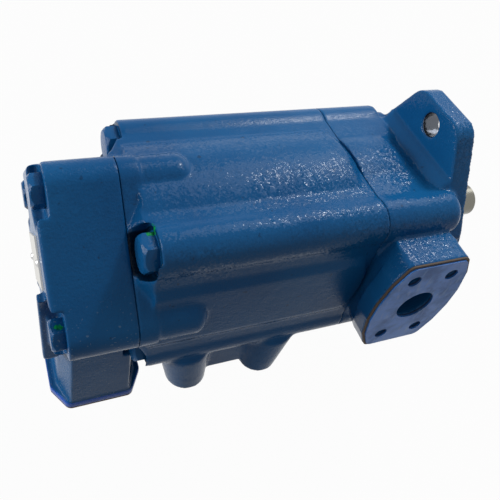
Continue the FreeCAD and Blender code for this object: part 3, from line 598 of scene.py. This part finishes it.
class PUMP_OT_metals(bpy.types.Operator):
    """Give the bare metal, rubber and card pieces their finishes"""
    bl_idname = "pump.metals"
    bl_label = "Bare pieces"

    def execute(self, context):
        ground = steel_finish("Ground steel", (0.19, 0.185, 0.16), roughness=0.26, grain_scale=900.0)
        polished = plain_finish("Polished steel", (0.6, 0.6, 0.6), roughness=0.18, metallic=1.0)
        machined = steel_finish("Machined steel", (0.42, 0.42, 0.42), roughness=0.36, grain_scale=700.0)
        bronze = plain_finish("Bronze", (0.55, 0.36, 0.16), roughness=0.35, metallic=1.0)
        rubber = plain_finish("Seal rubber", (0.018, 0.018, 0.018), roughness=0.55)
        plastic = plain_finish("Backup ring plastic", (0.7, 0.68, 0.6), roughness=0.5)
        card = card_finish()
        sheet = sheet_finish()
        plate = plain_finish("Bare nameplate", (0.62, 0.61, 0.58), roughness=0.4, metallic=1.0)
        by_slot = {
            "ground_steel": ground, "bearing_steel": polished, "pressed_brass": bronze,
            "spring_steel": machined, "seal_case": machined, "seal_rubber": rubber,
            "backup_plastic": plastic, "ring_steel": machined, "plate_iron": machined,
            "flex_bronze": bronze, "small_steel": polished, "gasket_card": card,
            "transit_sheet": sheet, "nameplate_metal": plate,
        }
        for part in frame["record"]["subparts"]:
            if part["material_slot"] in by_slot:
                for slot in NODES[part["node"]].material_slots:
                    slot.material = by_slot[part["material_slot"]]
        return {"FINISHED"}


# Stage. Places and sizes are in metres, and the lamps' offsets count from the middle of the pump

CAMERA_PLACE = Vector((-0.2558, -0.2177, 0.2595))
CAMERA_RIGHT = Vector((0.9147, -0.3503, 0.2014))
CAMERA_UP = Vector((0.1419, 0.7451, 0.6517))
CAMERA_BACK = Vector((-0.3783, -0.5676, 0.7312))
CAMERA_LENS = 42.17
CAMERA_SENSOR = 36.0
CAMERA_CLIP = 0.01
FLOOR_SIZE = 6.0
FLOOR_WHITE = 0.97
KEY_OFFSET = Vector((0.57, 0.3792, 0.984))
SIDE_OFFSET = Vector((-1.15, 0.2, 0.25))
KEY_SIZE = 0.9
GLINT_SIZE = 0.15
SIDE_SIZE = 0.6


def area_lamp(name, place, target, size, power):
    """Round lamp that faces the target."""
    bpy.ops.object.light_add(type="AREA")
    lamp = bpy.context.object
    lamp.name = name
    lamp.data.shape = "DISK"
    lamp.data.size = size
    lamp.data.energy = power
    lamp.location = place
    lamp.rotation_euler = (target - place).to_track_quat("-Z", "Y").to_euler()
    return lamp


def background_rays(nodes):
    """1 for the rays that see the plain background: those of the camera, of gloss and of glass."""
    camera, gloss, glass = (nodes.node("LightPath", output=ray)
                            for ray in ("Is Camera Ray", "Is Glossy Ray", "Is Transmission Ray"))
    return nodes.maths("MAXIMUM", nodes.maths("MAXIMUM", camera, gloss), glass)


def world_light(level):
    """Even pale light all round, and plain white where the background is seen."""
    world = bpy.data.worlds.new("Studio")
    bpy.context.scene.world = world
    world.use_nodes = True
    nodes = Nodes(world.node_tree)
    background = nodes.tree.nodes["Background"]
    nodes.feed(background.inputs["Color"], shade(WHITE))
    nodes.feed(background.inputs["Strength"], level)
    even = Wire(nodes, background.outputs[0])
    seen = nodes.node("Background", {}, {"Color": shade(WHITE)})
    mixed = nodes.node("MixShader", {}, {0: background_rays(nodes), 1: even, 2: seen})
    nodes.feed(nodes.tree.nodes["World Output"].inputs["Surface"], mixed)


def floor_finish(level):
    """Grey to the light that falls on it, and nearly white where it is seen."""
    f = Finish("Studio floor")
    f.set(Base_Color=shade((level, level, level)), Roughness=0.9, Specular_IOR_Level=0.0)
    lit = Wire(f, f.shader.outputs[0])
    white = f.node("Emission", {}, {"Color": shade(WHITE), "Strength": 1.0})
    mixed = f.node("MixShader", {}, {0: background_rays(f) * FLOOR_WHITE, 1: lit, 2: white})
    f.feed(f.tree.nodes["Material Output"].inputs["Surface"], mixed)
    return f.material


def photo_camera(scene):
    """The camera at the photograph's place."""
    camera = bpy.data.objects.new("camera", bpy.data.cameras.new("camera"))
    scene.collection.objects.link(camera)
    turn = Matrix((CAMERA_RIGHT, CAMERA_UP, CAMERA_BACK)).transposed().to_4x4()
    camera.matrix_world = Matrix.Translation(CAMERA_PLACE) @ turn
    camera.data.lens = CAMERA_LENS
    camera.data.sensor_width = CAMERA_SENSOR
    camera.data.clip_start = CAMERA_CLIP
    scene.camera = camera


class PUMP_OT_stage(bpy.types.Operator):
    """Set the floor, the lamps and the camera"""
    bl_idname = "pump.stage"
    bl_label = "Stage"

    def execute(self, context):
        stage = context.scene.pump_stage
        low, high = CAD_BOX
        middle = (low + high) / 2
        under = (middle.x, middle.y, low.z - stage.floor_gap)
        deselect()
        bpy.ops.mesh.primitive_plane_add(size=FLOOR_SIZE, location=under)
        floor = context.object
        floor.name = "floor"
        floor.data.materials.append(floor_finish(stage.floor_level))
        key = middle + KEY_OFFSET
        lamps = [
            area_lamp("key", key, middle, KEY_SIZE, stage.key_power),
            area_lamp("glint", key, middle, GLINT_SIZE, stage.glint_power),
            area_lamp("side", middle + SIDE_OFFSET, middle, SIDE_SIZE, stage.side_power),
        ]
        world_light(stage.world_level)
        photo_camera(context.scene)
        context.scene.view_settings.view_transform = "Standard"
        return {"FINISHED"}


OPERATORS = (PUMP_OT_castings, PUMP_OT_metals, PUMP_OT_stage)


class PUMP_PT_panel(bpy.types.Panel):
    """Pieces of the pump in the order they are made"""
    bl_label = "Tandem vane pump"
    bl_space_type = "VIEW_3D"
    bl_region_type = "UI"
    bl_category = "Pump"

    def draw(self, context):
        for group in (context.scene.pump_look, context.scene.pump_stage):
            for key in group.__annotations__:
                self.layout.prop(group, key)
        for operator in OPERATORS:
            self.layout.operator(operator.bl_idname)


CLASSES = (PumpLook, StageLook, *OPERATORS, PUMP_PT_panel)


def register():
    for cls in CLASSES:
        bpy.utils.register_class(cls)
    bpy.types.Scene.pump_look = bpy.props.PointerProperty(type=PumpLook)
    bpy.types.Scene.pump_stage = bpy.props.PointerProperty(type=StageLook)


def unregister():
    del bpy.types.Scene.pump_stage
    del bpy.types.Scene.pump_look
    for cls in reversed(CLASSES):
        bpy.utils.unregister_class(cls)


def main():
    register()
    for operator in OPERATORS:
        group, name = operator.bl_idname.split(".")
        getattr(getattr(bpy.ops, group), name)()


if __name__ == "__main__":
    main()
